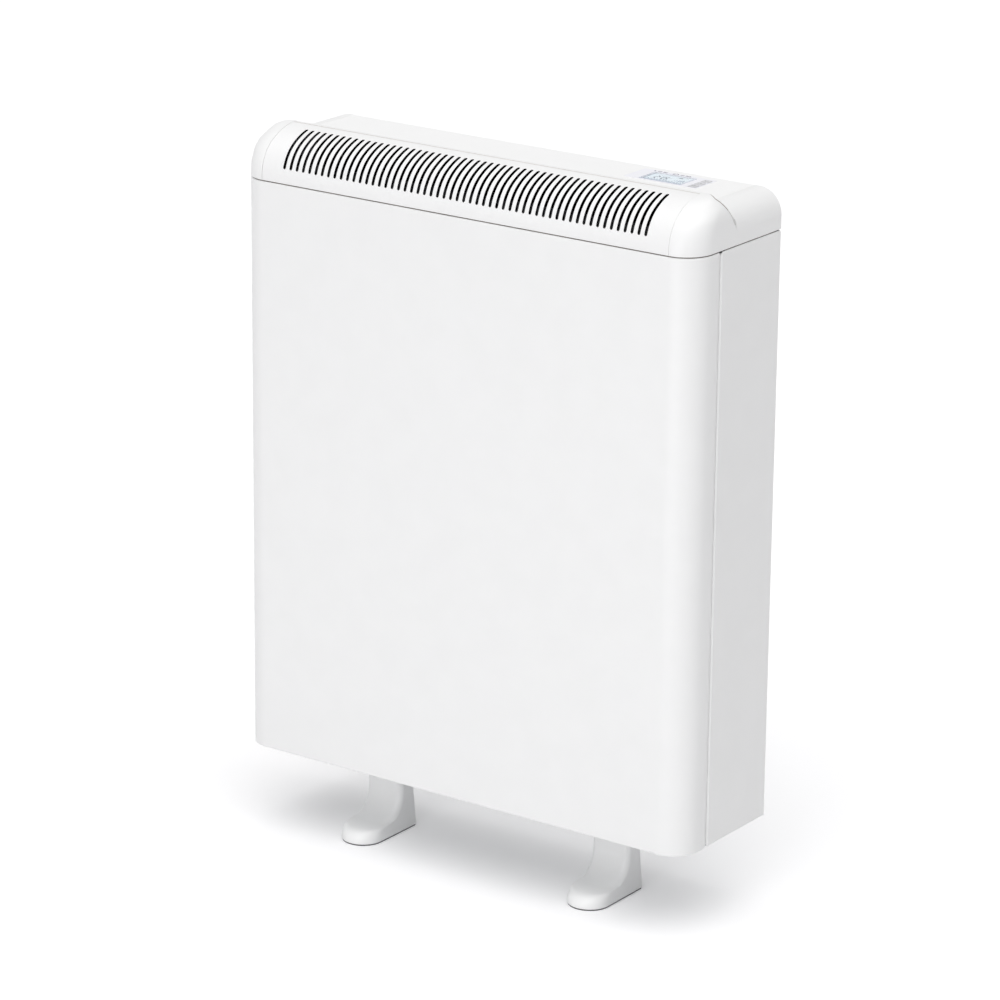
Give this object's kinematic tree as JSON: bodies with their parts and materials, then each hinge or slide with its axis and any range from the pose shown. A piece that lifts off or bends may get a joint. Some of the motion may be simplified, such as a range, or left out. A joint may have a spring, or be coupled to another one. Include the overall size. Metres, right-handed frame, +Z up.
{
  "type": "storage heater",
  "caption": "Slim white electric storage heater on two feet, with a bull-nosed slotted outlet along the front of its top, moulded top ends and a display with keys on the deck.",
  "frame": {"origin": "on the floor, under the middle of the casing in both width and depth", "axes": "+X to the right as seen from the front, +Y to the back (the wall side), +Z up; the front faces -Y"},
  "size_m": [0.556, 0.155, 0.7582],
  "materials": {
    "white_panel": "satin",
    "white_moulding": "satin",
    "zinc_sheet": "satin",
    "label_film": "satin",
    "display_clear": "gloss",
    "key_grey": "matte",
    "housing_plastic": "matte",
    "circuit_board": "satin",
    "rubber_black": "matte",
    "steel_plain": "satin",
    "storage_brick": "matte",
    "insulating_board": "matte",
    "insulating_felt": "matte",
    "element_sheath": "matte",
    "bush_ceramic": "matte",
    "bush_bronze": "satin",
    "motor_plastic": "matte",
    "terminal_plastic": "satin",
    "cutout_phenolic": "matte",
    "wire_sleeve": "matte"
  },
  "bodies": {
    "heater": {"front_panel": "white_panel", "left_side_panel": "white_panel", "right_side_panel": "white_panel", "rear_panel": "zinc_sheet", "base_plate": "zinc_sheet", "top_panel": "white_panel", "outlet_grille": "white_moulding", "left_end_cap": "white_moulding", "right_end_cap": "white_moulding", "control_label": "label_film", "display_window": "display_clear", "control_housing": "housing_plastic", "display_board": "circuit_board", "display_module": "display_clear", "left_foot": "white_moulding", "right_foot": "white_moulding", "foot_soles": "rubber_black", "foot_screws": "steel_plain", "base_screws": "steel_plain", "core_case": "zinc_sheet", "core_tray": "zinc_sheet", "base_slab": "insulating_board", "front_slab": "insulating_felt", "rear_slab": "insulating_felt", "left_slab": "insulating_felt", "right_slab": "insulating_felt", "top_slab": "insulating_felt", "front_brick_1": "storage_brick", "front_brick_2": "storage_brick", "front_brick_3": "storage_brick", "front_brick_4": "storage_brick", "front_brick_5": "storage_brick", "front_brick_6": "storage_brick", "rear_brick_1": "storage_brick", "rear_brick_2": "storage_brick", "rear_brick_3": "storage_brick", "rear_brick_4": "storage_brick", "rear_brick_5": "storage_brick", "rear_brick_6": "storage_brick", "lower_element": "element_sheath", "middle_element": "element_sheath", "upper_element": "element_sheath", "element_bushes": "bush_ceramic", "boost_element": "element_sheath", "boost_clips": "zinc_sheet", "damper_frame": "zinc_sheet", "damper_bushes": "bush_bronze", "damper_motor": "motor_plastic", "power_board": "circuit_board", "terminal_block": "terminal_plastic", "cable_grommet": "rubber_black", "core_sensor": "steel_plain", "thermal_cutouts": "cutout_phenolic", "room_sensor": "terminal_plastic", "wiring_loom": "wire_sleeve"},
    "menu_key": {"menu_key": "key_grey"},
    "up_key": {"up_key": "key_grey"},
    "down_key": {"down_key": "key_grey"},
    "damper": {"damper_flap": "zinc_sheet", "damper_shaft": "steel_plain"}
  },
  "joints": [
    {"name": "menu_key_press", "type": "slide", "parent": "heater", "child": "menu_key", "axis": [0, 0, -1], "range_m": [0, 0.0006], "stiffness_N_per_m": 500, "springref_m": -0.0005},
    {"name": "up_key_press", "type": "slide", "parent": "heater", "child": "up_key", "axis": [0, 0, -1], "range_m": [0, 0.0006], "stiffness_N_per_m": 500, "springref_m": -0.0005},
    {"name": "down_key_press", "type": "slide", "parent": "heater", "child": "down_key", "axis": [0, 0, -1], "range_m": [0, 0.0006], "stiffness_N_per_m": 500, "springref_m": -0.0005},
    {"name": "damper_turn", "type": "hinge", "parent": "heater", "child": "damper", "pos_m": [0, 0.022, 0.6572], "axis": [-1, 0, 0], "range_deg": [0, 70]}
  ]
}
